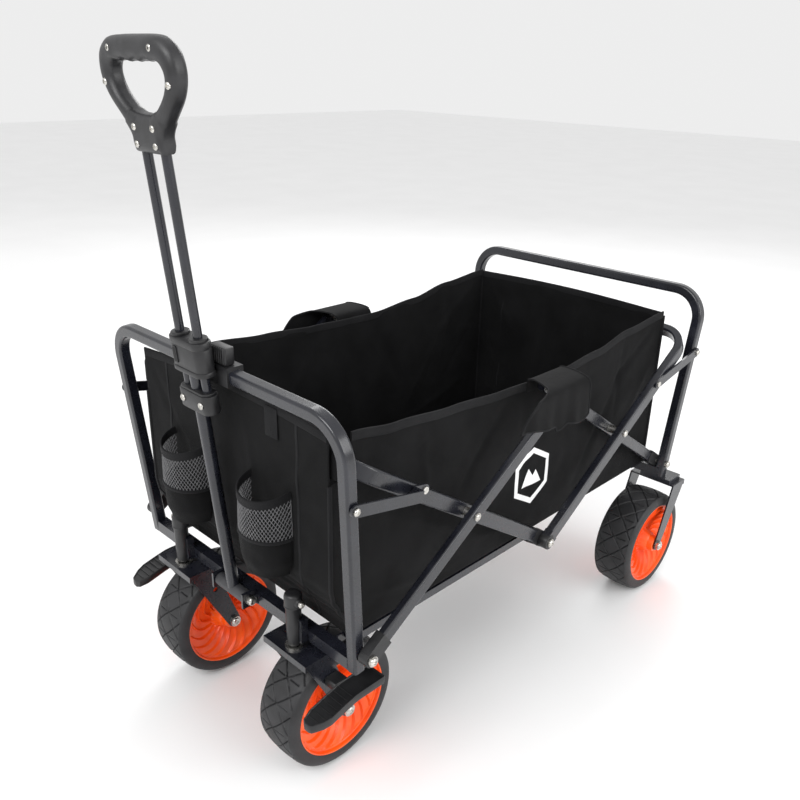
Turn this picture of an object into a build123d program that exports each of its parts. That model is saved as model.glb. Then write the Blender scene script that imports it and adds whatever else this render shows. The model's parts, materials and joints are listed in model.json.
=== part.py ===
from build123d import *
from math import atan2, cos, degrees, radians, sin
import os

os.makedirs("parts", exist_ok=True)

# Folding camp wagon. +X is the wagon's left side, -Y the handle end, +Z up, z = 0 the ground.

# ---- driving dimensions (mm) ----
tube = 18.0                    # end frame tube, square
tube_radius = 4.0
foot_x, foot_y, foot_z = 242.0, 399.0, 227.0      # leg centre line at its foot
top_x, top_y, top_z = 257.0, 430.0, 596.0         # leg centre line at the top rail
frame_bend = 50.0
wall = 1.5

bar_length = 473.5                                # foot pivot to top joint
bar_angle = 33.15                                 # scissor angle with the wagon open
pivot_y = bar_length * cos(radians(bar_angle))    # foot pivots of the scissor bars
pivot_z = 255.8
outer_bar_x, inner_bar_x = 262.0, 225.5           # single bars: front pair outside, rear pair inside
bar_height, bar_thick = 20.0, 12.0
front_hoop_x, rear_hoop_x = 240.0, 255.0          # half widths of the two inner hoops
hoop_height, hoop_thick, hoop_bend = 22.0, 14.0, 45.0
rivet_radius, rivet_head = 3.0, 6.0
running = 0.05                                    # radial clearance of every turning fit
gap = 0.3
centre_shift = 22.4                               # moves the finished wagon so its footprint is centred

link_leg_z = 480.0                                # rivet of each short link on its leg
link_hoop_share, link_hoop_rise = 0.735, 8.0      # its other rivet along the hoop, and above its centre
link_height, link_thick = 16.0, 3.0

floor_hinge_y, floor_hinge_z = 372.0, 243.0
floor_bar_height, floor_bar_width = 12.0, 14.0
front_floor_x, rear_floor_x = 205.0, 188.0

wheel_radius, tread_half, tyre_half = 100.0, 30.0, 36.5
rim_radius, barrel_radius = 79.5, 76.0
axle_radius = 5.0
fork_half, fork_thick, plate_z = 46.0, 3.0, 217.5
plate_front, plate_back = 438.0, 394.0
axle_y, axle_z = 363.0, 100.0
caster_x, post_y = 140.0, 419.5
rear_wheel_x = 230.0
post_radius, stem_radius = 11.0, 6.0
pedal_y, pedal_z = 394.0, 175.0

handle_pivot_y, handle_pivot_z = 420.0, 239.5
handle_lean = 5.9
spine_radius, rod_radius, rod_x = 9.0, 6.0, 20.7
lower_collar, upper_collar = (297.0, 326.0), (351.0, 398.0)     # along the handle from its pivot
spine_top = 392.0
rod_bottom, rod_top = 300.0, 655.0
grip_bottom, grip_top, grip_half_depth = 622.0, 746.0, 11.0
collar_width, collar_depth = 72.0, 26.0

cloth = 3.0
bag_x, bag_y = 212.0, 382.0                       # outside of the bag's side and end walls
panel_front_y = 415.0                                # where the front panel stands out furthest
bag_bottom, bag_top, bag_dip = 250.0, 546.0, 522.0


# ---- helpers ----
def block(x0, x1, y0, y1, z0, z1):
    return Pos((x0 + x1) / 2, (y0 + y1) / 2, (z0 + z1) / 2) * Box(x1 - x0, y1 - y0, z1 - z0)


def pin(radius, start, end):
    """Cylinder between two points."""
    axis = Vector(*end) - Vector(*start)
    plane = Plane(origin=start, z_dir=axis)
    return plane * Cylinder(radius, axis.length, align=(Align.CENTER, Align.CENTER, Align.MIN))


def pin_x(radius, x0, x1, y, z):
    return pin(radius, (x0, y, z), (x1, y, z))


def both(shape):
    """The shape and its twin on the other side of the wagon."""
    return [shape, mirror(shape, Plane.YZ)]


def fuse(shapes):
    solid = shapes[0]
    for other in shapes[1:]:
        solid = solid + other
    return solid


def to_rear(shape):
    return mirror(shape, Plane.XZ)


def pack(node, shapes):
    """Write one node; each entry stays a solid of its own."""
    solids = []
    for shape in shapes:
        solids += (Pos(0, centre_shift, 0) * shape).solids()
    export_step(Compound(children=solids) if len(solids) > 1 else solids[0], f"parts/{node}.step")


def bar_frame(x, y, z, angle):
    """Plane whose x runs along a bar in the side plane, whose y is its height and z its thickness."""
    return Plane(origin=(x, y, z), x_dir=(0, cos(radians(angle)), sin(radians(angle))), z_dir=(1, 0, 0))


def bar_tube(frame, start, end, height, thick):
    outer = extrude(Plane.YZ.offset(start) * RectangleRounded(height, thick, 3), end - start)
    inner = extrude(Plane.YZ.offset(start) * RectangleRounded(height - 2 * wall, thick - 2 * wall, 1.5), end - start)
    return frame * (outer - inner)


def hoop_sweep(points, bend, height, thick, corner):
    """Tube of a rounded rectangle bent along a filleted path; height is across the bending plane."""
    path = FilletPolyline(*points, radius=bend)
    section = Plane(origin=path @ 0, x_dir=(1, 0, 0), z_dir=path % 0)
    outer = sweep(section * RectangleRounded(thick, height, corner), path=path)
    inner = sweep(section * RectangleRounded(thick - 2 * wall, height - 2 * wall, corner - wall), path=path)
    return outer, inner


# ---- end frames ----
lean_slope = (top_y - foot_y) / (top_z - tube / 2 - foot_z)
splay_slope = (top_x - foot_x) / (top_z - tube / 2 - foot_z)


def leg_x(z):
    return foot_x + splay_slope * (z - foot_z)


def leg_y(z):
    return foot_y + lean_slope * (z - foot_z)


rail_z = top_z - tube / 2
leg_points = [(-foot_x, -foot_y, foot_z), (-top_x, -top_y, rail_z), (top_x, -top_y, rail_z), (foot_x, -foot_y, foot_z)]
frame_path = FilletPolyline(*leg_points, radius=frame_bend)
frame_section = Plane(origin=frame_path @ 0, x_dir=(1, 0, 0), z_dir=frame_path % 0)
frame_outer = sweep(frame_section * RectangleRounded(tube, tube, tube_radius), path=frame_path)
frame_inner = sweep(
    frame_section * RectangleRounded(tube - 2 * wall, tube - 2 * wall, tube_radius - wall), path=frame_path)
front_frame = frame_outer - frame_inner
crossbar = block(-foot_x, foot_x, -foot_y - tube / 2, -foot_y + tube / 2, foot_z, foot_z + tube)
crossbar = crossbar - block(-foot_x, foot_x, -foot_y - tube / 2 + wall, -foot_y + tube / 2 - wall,
                            foot_z + wall, foot_z + tube - wall)
crossbar = crossbar - frame_outer
crossbar = crossbar.solids().sort_by(SortBy.VOLUME)[-1]
front_frame = front_frame + crossbar
pack("front_frame", [front_frame])
pack("rear_frame", [to_rear(front_frame)])

# ---- scissor geometry with the wagon open ----
reach = bar_length * cos(radians(bar_angle))
rise = bar_length * sin(radians(bar_angle))
cross_y, cross_z = pivot_y - reach / 2, pivot_z + rise / 2
top_joint = (pivot_y - reach, pivot_z + rise)
half_bar = bar_length / 2

front_bar_plane = bar_frame(outer_bar_x, -pivot_y, pivot_z, bar_angle)
rear_bar_plane = bar_frame(inner_bar_x, pivot_y, pivot_z, 180 - bar_angle)
end_radius = bar_height / 2
shoe_round = pivot_z - foot_z - tube - gap          # the shoe's round foot turns just over the crossbar


def single_bar(plane, shoe_outer, pivot_bore, cross_bore, top_bore):
    """Scissor bar with a closed round top end, and the plastic shoe on its foot."""
    tube_body = bar_tube(plane, 16, bar_length - 16, bar_height, bar_thick)
    tube_body = tube_body - plane * (Pos(half_bar, 0, 0) * Cylinder(cross_bore, 40))
    shoe = plane * (Cylinder(shoe_round, shoe_outer) + Pos(17, 0, 0) * Box(34, 23, shoe_outer))
    shoe = shoe - plane * (Pos(26, 0, 0) * Box(20, bar_height, bar_thick)) - plane * Cylinder(pivot_bore, 60)
    cap = plane * (Pos(bar_length, 0, 0) * Cylinder(end_radius, bar_thick)
                   + Pos(bar_length - 8, 0, 0) * Box(16, bar_height, bar_thick))
    cap = cap - plane * (Pos(bar_length, 0, 0) * Cylinder(top_bore, 40))
    return tube_body + cap, shoe


joint_y, joint_z = -top_joint[0], top_joint[1]
turning = rivet_radius + 1 + running
front_bar, front_shoe = single_bar(front_bar_plane, bar_thick + 3, turning, rivet_radius, rivet_radius + 1)
rear_bar, rear_shoe = single_bar(rear_bar_plane, bar_thick + 3, turning, rivet_radius + running, turning)
pack("front_bars", both(front_bar))
pack("rear_bars", both(rear_bar))
pack("front_bar_shoes", both(front_shoe))
pack("rear_bar_shoes", both(rear_shoe))

# Top joint pin with its spacer, carried by the front bars.
front_inner_face = outer_bar_x - bar_thick / 2
rear_outer_face = inner_bar_x + bar_thick / 2
top_pin = fuse([
    pin_x(rivet_radius + 1, inner_bar_x - bar_thick / 2 - 1, outer_bar_x + bar_thick / 2, joint_y, joint_z),
    pin_x(7.5, rear_outer_face + gap, front_inner_face, joint_y, joint_z),
    pin_x(7.5, outer_bar_x + bar_thick / 2, outer_bar_x + bar_thick / 2 + 2, joint_y, joint_z),
])

# ---- inner hoops ----
def hoop(half_width, front, side_bore, foot_start):
    """One inner hoop of the scissor, from its foot rivets up to the crossbar under the end rail."""
    turn = 180 - bar_angle if front else bar_angle
    direction = Vector(0, cos(radians(turn)), sin(radians(turn)))
    foot = Vector(0, 0, pivot_z)

    def at(x, s):
        return tuple(Vector(x, 0, 0) + foot + direction * s)

    points = [at(-half_width, foot_start), at(-half_width, bar_length), at(half_width, bar_length),
              at(half_width, foot_start)]
    outer, inner = hoop_sweep(points, hoop_bend, hoop_height, hoop_thick, 3.0)
    body = outer - inner
    side = -1 if front else 1
    return body - pin_x(side_bore, -300, 300, side * cross_y, cross_z)


front_hoop = hoop(front_hoop_x, True, rivet_radius + running, 24)
rear_hoop = hoop(rear_hoop_x, False, rivet_radius, 16)
pack("front_hoop", [front_hoop])

# Plastic knuckles: the front hoop's reach out beside the rear hoop's flattened ends.
front_low = bar_frame(front_hoop_x, 0, pivot_z, 180 - bar_angle)
rear_low = bar_frame(rear_hoop_x, 0, pivot_z, bar_angle)
knuckle = front_low * (Cylinder(13, hoop_thick) + Pos(20, 0, 0) * Box(40, 25, hoop_thick + 3)
                       - Pos(34, 0, 0) * Box(20, hoop_height, hoop_thick))
knuckle = knuckle - block(front_hoop_x + hoop_thick / 2, 300, -60, 60, 200, 330)
knuckle = knuckle - pin_x(rivet_radius + 1, 200, 300, 0, pivot_z)
end_piece = rear_low * (Cylinder(hoop_height / 2, hoop_thick) + Pos(8, 0, 0) * Box(16, hoop_height, hoop_thick))
end_piece = end_piece - pin_x(rivet_radius + 1 + running, 200, 300, 0, pivot_z)
low_pin = fuse([
    pin_x(rivet_radius + 1, front_hoop_x - 9, rear_hoop_x + hoop_thick / 2 + gap, 0, pivot_z),
    pin_x(rivet_head + 1, rear_hoop_x + hoop_thick / 2 + gap, rear_hoop_x + hoop_thick / 2 + 3.3, 0, pivot_z),
])
pack("front_hoop_knuckles", both(knuckle - low_pin))
pack("rear_hoop", [fuse([rear_hoop] + both(end_piece))])
pack("hoop_hinge_pins", both(low_pin))

# ---- crossing rivets with spacers ----
front_rivet = fuse([
    pin_x(rivet_radius, front_hoop_x - hoop_thick / 2 - gap, outer_bar_x + bar_thick / 2, -cross_y, cross_z),
    pin_x(rivet_head, outer_bar_x + bar_thick / 2, outer_bar_x + bar_thick / 2 + 2, -cross_y, cross_z),
    pin_x(rivet_head, front_hoop_x - hoop_thick / 2 - gap - 1.5, front_hoop_x - hoop_thick / 2 - gap, -cross_y, cross_z),
    pin_x(7, front_hoop_x + hoop_thick / 2 + gap, front_inner_face, -cross_y, cross_z),
])
rear_rivet = fuse([
    pin_x(rivet_radius, inner_bar_x - bar_thick / 2 - gap, rear_hoop_x + hoop_thick / 2, cross_y, cross_z),
    pin_x(rivet_head, rear_hoop_x + hoop_thick / 2, rear_hoop_x + hoop_thick / 2 + 2, cross_y, cross_z),
    pin_x(rivet_head, inner_bar_x - bar_thick / 2 - gap - 1.5, inner_bar_x - bar_thick / 2 - gap, cross_y, cross_z),
    pin_x(7, rear_outer_face + gap, rear_hoop_x - hoop_thick / 2, cross_y, cross_z),
])
pack("front_bar_pins", both(front_rivet) + both(top_pin))
pack("rear_crossing_rivets", both(rear_rivet))

# ---- foot bolts ----
def outer_face(z, radius):
    """Where a bolt of this radius meets the slanting outer face of a leg."""
    return leg_x(z + radius) + tube / 2


bolt_start = outer_face(pivot_z, rivet_head + 1)
front_foot_bolt = fuse([
    pin_x(rivet_radius + 1, bolt_start, outer_bar_x + 7.5 + gap, -pivot_y, pivot_z),
    pin_x(rivet_head + 1.5, outer_bar_x + 7.5 + gap, outer_bar_x + 11, -pivot_y, pivot_z),
])
rear_inner_bolt = fuse([
    pin_x(rivet_radius + 1, inner_bar_x - 7.5 - gap, leg_x(pivot_z - rivet_radius - 1) - tube / 2, pivot_y, pivot_z),
    pin_x(rivet_head + 1.5, inner_bar_x - 11, inner_bar_x - 7.5 - gap, pivot_y, pivot_z),
])
rear_bolt_head = pin_x(rivet_head + 1, bolt_start, bolt_start + 4, pivot_y, pivot_z)
leg_bolts = {"front": both(front_foot_bolt), "rear": both(rear_inner_bolt) + both(rear_bolt_head)}

# ---- short links from each leg to its hoop ----
link_x = leg_x(link_leg_z) + tube / 2 + 1.6


def link(front):
    """Link strip with round ends; the front one steps in to lie on the narrower hoop."""
    side = -1 if front else 1
    hoop_face = (front_hoop_x if front else rear_hoop_x) + hoop_thick / 2 + gap
    leg = Vector(0, side * leg_y(link_leg_z), link_leg_z)
    hoop_y = side * (reach * link_hoop_share - link_hoop_rise * sin(radians(bar_angle)))
    hoop_z = pivot_z + rise * link_hoop_share + link_hoop_rise * cos(radians(bar_angle))
    end = Vector(0, hoop_y, hoop_z)
    length = (end - leg).length
    angle = degrees(atan2(end.Z - leg.Z, end.Y - leg.Y))
    plane = bar_frame(0, leg.Y, leg.Z, angle)
    outer_x = max(link_x, hoop_face)

    def slab(s0, s1, x0, x1):
        return plane * (Pos((s0 + s1) / 2, 0, (x0 + x1) / 2) * Box(s1 - s0, link_height, x1 - x0))

    def disc(s, x0):
        return plane * (Pos(s, 0, x0 + link_thick / 2) * Cylinder(link_height / 2, link_thick))

    step = length - 20
    pieces = [disc(0, outer_x), slab(0, step, outer_x, outer_x + link_thick)]
    if front:
        pieces += [slab(step - link_thick, step, hoop_face, outer_x + link_thick),
                   slab(step - link_thick, length, hoop_face, hoop_face + link_thick), disc(length, hoop_face)]
        head = hoop_face + link_thick
    else:
        pieces += [slab(step, length, outer_x, outer_x + link_thick), disc(length, outer_x)]
        head = outer_x + link_thick
    strip = fuse(pieces) - pin_x(rivet_radius + running, 200, 300, leg.Y, leg.Z)
    loose_rivet = pin_x(rivet_head - 1, head, head + 2, end.Y, end.Z)
    leg_rivet = fuse([
        pin_x(rivet_radius, outer_face(leg.Z, rivet_radius), outer_x + link_thick + gap, leg.Y, leg.Z),
        pin_x(rivet_head - 1, outer_x + link_thick + gap, outer_x + link_thick + 2, leg.Y, leg.Z),
    ])
    return strip, loose_rivet, leg_rivet


for end_name, is_front in (("front", True), ("rear", False)):
    strip, loose_rivet, leg_rivet = link(is_front)
    pack(f"{end_name}_links", both(strip))
    pack(f"{end_name}_link_rivets", both(loose_rivet))
    leg_bolts[end_name] += both(leg_rivet)

# ---- folding floor ----
def floor_side(x, overhang):
    """Floor bar from its hinge at the front crossbar to just past the middle of the wagon."""
    bar = block(x - floor_bar_width / 2, x + floor_bar_width / 2, -floor_hinge_y, overhang,
                floor_hinge_z - floor_bar_height / 2, floor_hinge_z + floor_bar_height / 2)
    bar = bar + pin_x(floor_bar_height / 2, x - floor_bar_width / 2, x + floor_bar_width / 2,
                      -floor_hinge_y, floor_hinge_z)
    return bar - pin_x(rivet_radius + running, x - 20, x + 20, -floor_hinge_y, floor_hinge_z)


def floor_tie(x, y):
    return block(-x + floor_bar_width / 2, x - floor_bar_width / 2, y - 6, y + 6,
                 floor_hinge_z - 4, floor_hinge_z + 4)


def floor_lug(x):
    """Two ears on the crossbar's rear face with the hinge pin between them."""
    ears = []
    for near in (x - floor_bar_width / 2 - 4, x + floor_bar_width / 2 + 1):
        ears.append(block(near, near + 3, -foot_y + tube / 2, -floor_hinge_y + 6,
                          floor_hinge_z - 6, floor_hinge_z + 6))
    ears.append(pin_x(rivet_radius, x - floor_bar_width / 2 - 5, x + floor_bar_width / 2 + 5,
                      -floor_hinge_y, floor_hinge_z))
    return fuse(ears)


tie_places = (-300, -195, -90)
front_ties = [floor_tie(front_floor_x, y) for y in tie_places]
rear_ties = [floor_tie(rear_floor_x, y) for y in tie_places]
pack("front_floor_rack", [fuse(both(floor_side(front_floor_x, 8)) + front_ties)])
pack("rear_floor_rack", [to_rear(fuse(both(floor_side(rear_floor_x, 8)) + rear_ties))])
pack("front_floor_lugs", both(floor_lug(front_floor_x)))
pack("rear_floor_lugs", both(to_rear(floor_lug(rear_floor_x))))


# ---- wheels ----
def wheel(x, y):
    """Tyre, hub and axle of one wheel on an axle along X."""
    place = Pos(x, y, axle_z)
    half = [(barrel_radius, 31), (rim_radius + 0.5, 31), (rim_radius + 0.5, tyre_half - 0.5), (86, tyre_half),
            (93, tyre_half - 2), (97.5, tread_half), (99.4, 17), (wheel_radius, 0)]
    outline = [(w, r) for r, w in half] + [(-w, r) for r, w in reversed(half[:-1])]
    tyre = revolve(make_face(Polyline(*outline, close=True)), Axis.X)
    barrel = Rot(0, 90, 0) * (Cylinder(barrel_radius, 62) - Cylinder(barrel_radius - 4, 80))
    lips = []
    for side in (-1, 1):
        lip = Rot(0, 90, 0) * (Cylinder(rim_radius, 4) - Cylinder(barrel_radius - 4, 10))
        lips.append(Pos(side * 33, 0, 0) * lip)
    disc = Rot(0, 90, 0) * Cylinder(barrel_radius - 2, 6)
    boss = Rot(0, 90, 0) * Cylinder(15, 84)
    ribs = []
    for number in range(10):
        ribs.append(Rot(36 * number, 0, 0) * Pos(0, 0, 44) * Box(40, 3, 60))
    hub = fuse([barrel, disc, boss] + lips + ribs) - Rot(0, 90, 0) * Cylinder(axle_radius + running, 200)
    return place * tyre, place * hub


def axle(x, y):
    shank = pin_x(axle_radius, x - fork_half - 1, x + fork_half + 1, y, axle_z)
    heads = [pin_x(9, x + side * (fork_half + 0.01), x + side * (fork_half + 5), y, axle_z) for side in (-1, 1)]
    return fuse([shank] + heads)


def fork(x):
    """Top plate with a turned-down lip and two slanting arms; the plate leads the axle."""
    plate = block(x - fork_half, x + fork_half, -plate_front, -plate_back, plate_z - 3, plate_z)
    lip = block(x - fork_half, x + fork_half, -plate_front, -plate_front + 2.5, plate_z - 10, plate_z)
    arms = []
    for side in (-1, 1):
        inner = x + side * (fork_half - fork_thick)
        arm = make_face(Polyline((-plate_front, plate_z), (-plate_back, plate_z), (-axle_y + 10, axle_z + 4.5),
                                 (-axle_y - 10, axle_z - 4.5), close=True))
        plane = Plane(origin=(inner, 0, 0), x_dir=(0, 1, 0), z_dir=(1, 0, 0))
        arm_solid = extrude(plane * arm, side * fork_thick)
        eye = pin_x(11, inner, inner + side * fork_thick, -axle_y, axle_z)
        arms += [arm_solid, eye]
    body = fuse([plate, lip] + arms)
    return body - pin_x(axle_radius, x - 60, x + 60, -axle_y, axle_z)


for name, x in (("left", caster_x), ("right", -caster_x)):
    side = 1 if x > 0 else -1
    tyre, hub = wheel(x, -axle_y)
    pack(f"front_{name}_tyre", [tyre])
    pack(f"front_{name}_hub", [hub])
    caster_fork = fork(x) - pin_x(4, x - 60, x + 60, -pedal_y, pedal_z)
    stem = pin(stem_radius, (x, -post_y, plate_z), (x, -post_y, 283))
    washer = pin(13, (x, -post_y, plate_z), (x, -post_y, 220.7))
    pack(f"caster_fork_{name}", [caster_fork])
    # Brake pedal: a flat root beside the fork and a ribbed tongue sloping down to the front.
    edge = x + side * (fork_half + 20.6)
    far = x + side * (fork_half + 55.5)
    profile = make_face(Polyline((-345, 181), (-395, 181), (-466, 163), (-466, 153), (-440, 157), (-395, 169),
                                 (-345, 169), close=True))
    tongue_plane = Plane(origin=(min(edge, far), 0, 0), x_dir=(0, 1, 0), z_dir=(1, 0, 0))
    tongue = extrude(tongue_plane * profile, abs(far - edge))
    root = block(min(x + side * (fork_half + gap), edge), max(x + side * (fork_half + gap), edge),
                 -pedal_y - 12, -pedal_y + 12, 169, 181)
    ridges = []
    for number in range(7):
        y = -458 + 9.5 * number
        ridges.append(block(min(edge, far) + 2, max(edge, far) - 2, y - 0.8, y + 0.8,
                            162 + (y + 466) / 71 * 18, 164.2 + (y + 466) / 71 * 18))
    pedal = fuse([tongue, root] + ridges)
    pivot = pin_x(4, x + side * (fork_half - fork_thick), x + side * (fork_half + 20), -pedal_y, pedal_z)
    pedal = pedal - pin_x(4 + running, x, x + side * (fork_half + 20.05), -pedal_y, pedal_z)
    pack(f"brake_pedal_{name}", [pedal])
    pack(f"caster_pins_{name}", [stem + washer, axle(x, -axle_y), pivot])

for name, x in (("left", rear_wheel_x), ("right", -rear_wheel_x)):
    tyre, hub = wheel(x, axle_y)
    pack(f"rear_{name}_tyre", [tyre])
    pack(f"rear_{name}_hub", [hub])
rear_fork = to_rear(fork(rear_wheel_x))
pack("rear_forks", both(rear_fork))
pack("rear_axles", both(axle(rear_wheel_x, axle_y)))
mount = block(206, 268, foot_y - tube / 2, plate_front - 6, plate_z, foot_z) - to_rear(frame_outer)
pack("rear_fork_mounts", both(mount))

# ---- caster posts on the front crossbar ----
front_face = -foot_y - tube / 2
post = pin(post_radius, (caster_x, -post_y, 221), (caster_x, -post_y, 285))
cap = pin(post_radius + 1.5, (caster_x, -post_y, 285), (caster_x, -post_y, 304))
cap = fillet(cap.faces().sort_by(Axis.Z)[-1].edges(), 4)
ear = pin_x(6.5, caster_x, caster_x + 16, -post_y, 293)
bore = pin(stem_radius + running, (caster_x, -post_y, 215), (caster_x, -post_y, 284))
housing = fuse([post, cap, ear]) - bore
saddle = block(caster_x - 16, caster_x + 16, -post_y, front_face, foot_z + 1, foot_z + 38)
saddle = saddle - pin(post_radius, (caster_x, -post_y, 200), (caster_x, -post_y, 300))
post_bolt = pin_x(4.5, caster_x + 16, caster_x + 19, -post_y, 293)
pack("caster_posts", both(housing))
pack("caster_post_saddles", both(saddle))

# ---- handle ----
lean = radians(handle_lean)
handle_plane = Plane(origin=(0, -handle_pivot_y, handle_pivot_z), x_dir=(1, 0, 0), z_dir=(0, -cos(lean), -sin(lean)))


def along(u, w, n=0.0):
    """Point at u across, w up the handle and n in front of it."""
    return (u, -handle_pivot_y - w * sin(lean) - n * cos(lean), handle_pivot_z + w * cos(lean) - n * sin(lean))


def collar(low, high):
    base = Plane(origin=along(0, low), x_dir=(1, 0, 0), z_dir=(0, -sin(lean), cos(lean)))
    return extrude(base * SlotOverall(collar_width, collar_depth), high - low)


def rod_bores(radius, low, high):
    return fuse([pin(radius, along(side * rod_x, low), along(side * rod_x, high)) for side in (-1, 1)])


sleeve = pin_x(10, -34, 34, -handle_pivot_y, handle_pivot_z)
sleeve_bore = pin_x(4 + running, -60, 60, -handle_pivot_y, handle_pivot_z)
spine = pin(spine_radius, along(0, 4), along(0, spine_top)) - sleeve
spine = spine.solids().sort_by(SortBy.VOLUME)[-1]
spine = spine - pin(spine_radius - wall, along(0, 16), along(0, spine_top - 6))
upper = collar(*upper_collar) - pin(spine_radius, along(0, 300), along(0, spine_top))
upper = upper - rod_bores(rod_radius + running, 300, 450)
window = handle_plane * (Pos(-20, 376, collar_depth / 2) * Box(9, 26, 6))
upper = upper - window
pack("handle_pivot_sleeve", [sleeve - sleeve_bore])
pack("handle_spine", [spine])
pack("handle_upper_collar", [upper])

lower = collar(*lower_collar) - pin(spine_radius + running, along(0, 250), along(0, 350))
lower = lower - rod_bores(rod_radius, rod_bottom, 350)
rods = [pin(rod_radius, along(side * rod_x, rod_bottom), along(side * rod_x, rod_top))
        - pin(rod_radius - wall, along(side * rod_x, rod_bottom + 8), along(side * rod_x, rod_top - 8))
        for side in (-1, 1)]
pack("handle_lower_collar", [lower])
pack("handle_rods", rods)

# D-shaped grip in two shells.
right_side = [(33, grip_bottom), (33, 640), (46, 657), (70, 682), (80, 704), (74, 728), (56, 743), (44, grip_top)]
left_side = [(-u, w) for u, w in reversed(right_side)]
curve = Spline(*right_side[1:])
outline = make_face([
    Line((-33, grip_bottom), (33, grip_bottom)), Line((33, grip_bottom), (33, 640)), curve,
    Line((44, grip_top), (-44, grip_top)), mirror(curve, Plane.YZ), Line((-33, 640), (-33, grip_bottom))])
hole_side = [(46, 718), (57, 706), (53, 690), (32, 672), (0, 664)]
hole_curve = Spline(*hole_side)
hole = make_face([hole_curve, mirror(hole_curve, Plane.YZ), Line((-46, 718), (46, 718))])
for number in range(4):
    hole = hole - Pos(-30 + 20 * number, 718) * Circle(7) if number % 2 else hole
grip_plane = handle_plane
grip_sketch = outline - hole
front_shell = extrude(grip_plane * grip_sketch, grip_half_depth)
back_shell = extrude(grip_plane * grip_sketch, -grip_half_depth)
grip_bores = rod_bores(rod_radius, 600, rod_top)
screw_places = [(44, 732), (-44, 732), (69, 697), (-69, 697), (21, 651), (-21, 651), (21, 630), (-21, 630)]
screws = [pin(4, along(u, w, grip_half_depth), along(u, w, grip_half_depth + 1.2)) for u, w in screw_places]
collar_rivets = [pin(4.5, along(side * rod_x, 311, collar_depth / 2), along(side * rod_x, 311, collar_depth / 2 + 1.5))
                 for side in (-1, 1)]
pack("grip_shell_front", [front_shell - grip_bores])
pack("grip_shell_back", [back_shell - grip_bores])
pack("grip_screws", screws + collar_rivets)

# Pivot bracket on the crossbar, with the bolt through its ears.
ears = [block(side * 37 - 2, side * 37 + 2, -handle_pivot_y - 12, front_face, 228, 252) for side in (-1, 1)]
back_plate = block(-42, 42, front_face - 1.6, front_face, 228, 245)
pivot_bolt = fuse([
    pin_x(4, -42, 44, -handle_pivot_y, handle_pivot_z),
    pin_x(7.5, 39, 45, -handle_pivot_y, handle_pivot_z),
    pin_x(7.5, -44, -39, -handle_pivot_y, handle_pivot_z),
])
bracket = fuse([back_plate] + ears) - pin_x(4, -60, 60, -handle_pivot_y, handle_pivot_z)
pack("handle_bracket", [bracket])
pack("front_leg_bolts", leg_bolts["front"] + both(post_bolt) + [pivot_bolt])
pack("rear_leg_bolts", leg_bolts["rear"])

# Latch that clips over the top rail beside the upper collar, with its ribbed thumb button.
rail_y = -top_y
latch = block(-24, 50, rail_y - 12, rail_y + 13, rail_z - 12, rail_z + 14) - frame_outer
button = block(10, 44, rail_y - 10, rail_y + 6, rail_z + 14 + gap, rail_z + 38)
for number in range(6):
    groove = 14 + 5.2 * number
    button = button - block(groove, groove + 2, rail_y - 11, rail_y - 8.5, rail_z + 17, rail_z + 36)
pack("handle_latch_clip", [latch])
pack("handle_latch_button", [button])


# ---- fabric bag ----
# Outside of the front panel from its foot to its top hem: it swells out past the casters' posts and over
# the front of the inner hoop's crossbar.
front_profile = [(-bag_y, bag_bottom), (-384, 264), (-391, 284), (-403, 303), (-412, 321), (-panel_front_y, 340),
                 (-panel_front_y, 548), (-panel_front_y + 1, 560)]
hoop_notch = 496.0                                  # the side walls' front corners stop under the hoop's bend


def side_plane(x):
    return Plane(origin=(x, 0, 0), x_dir=(0, 1, 0), z_dir=(1, 0, 0))


def inward(points, distance):
    return [(y + distance, z) for y, z in points]


def bag_side(x0, x1):
    """Side wall whose top edge dips towards the middle and whose front edge follows the front panel."""
    end = bag_y - cloth - 1
    front_edge = [point for point in inward(front_profile, cloth + 1) if point[1] < hoop_notch]
    front_edge.append((-panel_front_y + cloth + 1, hoop_notch))
    shape = make_face([
        Line((-end, bag_bottom), (end, bag_bottom)), Line((end, bag_bottom), (end, bag_top)),
        Spline((end, bag_top), (end / 2, bag_dip + 9), (0, bag_dip), (-end / 2, bag_dip + 9), (-end, bag_top)),
        Polyline((-end, bag_top), (-end, hoop_notch), *reversed(front_edge))])
    return extrude(side_plane(x0) * shape, x1 - x0)


side_wall = bag_side(bag_x - cloth, bag_x)
front_outline = front_profile + list(reversed(inward(front_profile, cloth)))
front_wall = extrude(side_plane(-bag_x) * make_face(Polyline(*front_outline, close=True)), 2 * bag_x)
rear_wall = block(-bag_x, bag_x, bag_y - cloth, bag_y, bag_bottom, bag_top)
bag_floor = block(-bag_x + cloth + 1, bag_x - cloth - 1, -bag_y + cloth + 1, bag_y - cloth - 1,
                  bag_bottom, bag_bottom + cloth)
pack("bag_side_left", [side_wall])
pack("bag_side_right", [mirror(side_wall, Plane.YZ)])
pack("bag_front_panel", [front_wall])
pack("bag_rear_panel", [rear_wall])
pack("bag_floor", [bag_floor])
mats = []
for number in range(4):
    y0 = -370 + 186 * number
    mats.append(block(-200, 200, y0, y0 + 182, bag_bottom + cloth + 0.5, bag_bottom + cloth + 6.5))
pack("floor_mat", mats)

# Flap over each top joint, hung from the bag's top edge and longer towards the front.
flap_x = outer_bar_x + bar_thick / 2 + 3
flap_top = joint_z + 14
flap_outline = [(joint_y - 116, joint_z - 32), (joint_y - 74, joint_z - 48), (joint_y + 52, joint_z - 44),
                (joint_y + 50, flap_top), (joint_y - 40, flap_top)]
flap = fuse([
    extrude(side_plane(flap_x) * make_face(Polyline(*flap_outline, close=True)), 2),
    block(bag_x + gap, flap_x, joint_y - 40, joint_y + 50, flap_top - 2, flap_top),
    block(bag_x + gap, bag_x + gap + 2, joint_y - 40, joint_y + 50, joint_z - 10, flap_top),
])
pack("bag_flaps", both(flap))

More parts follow.
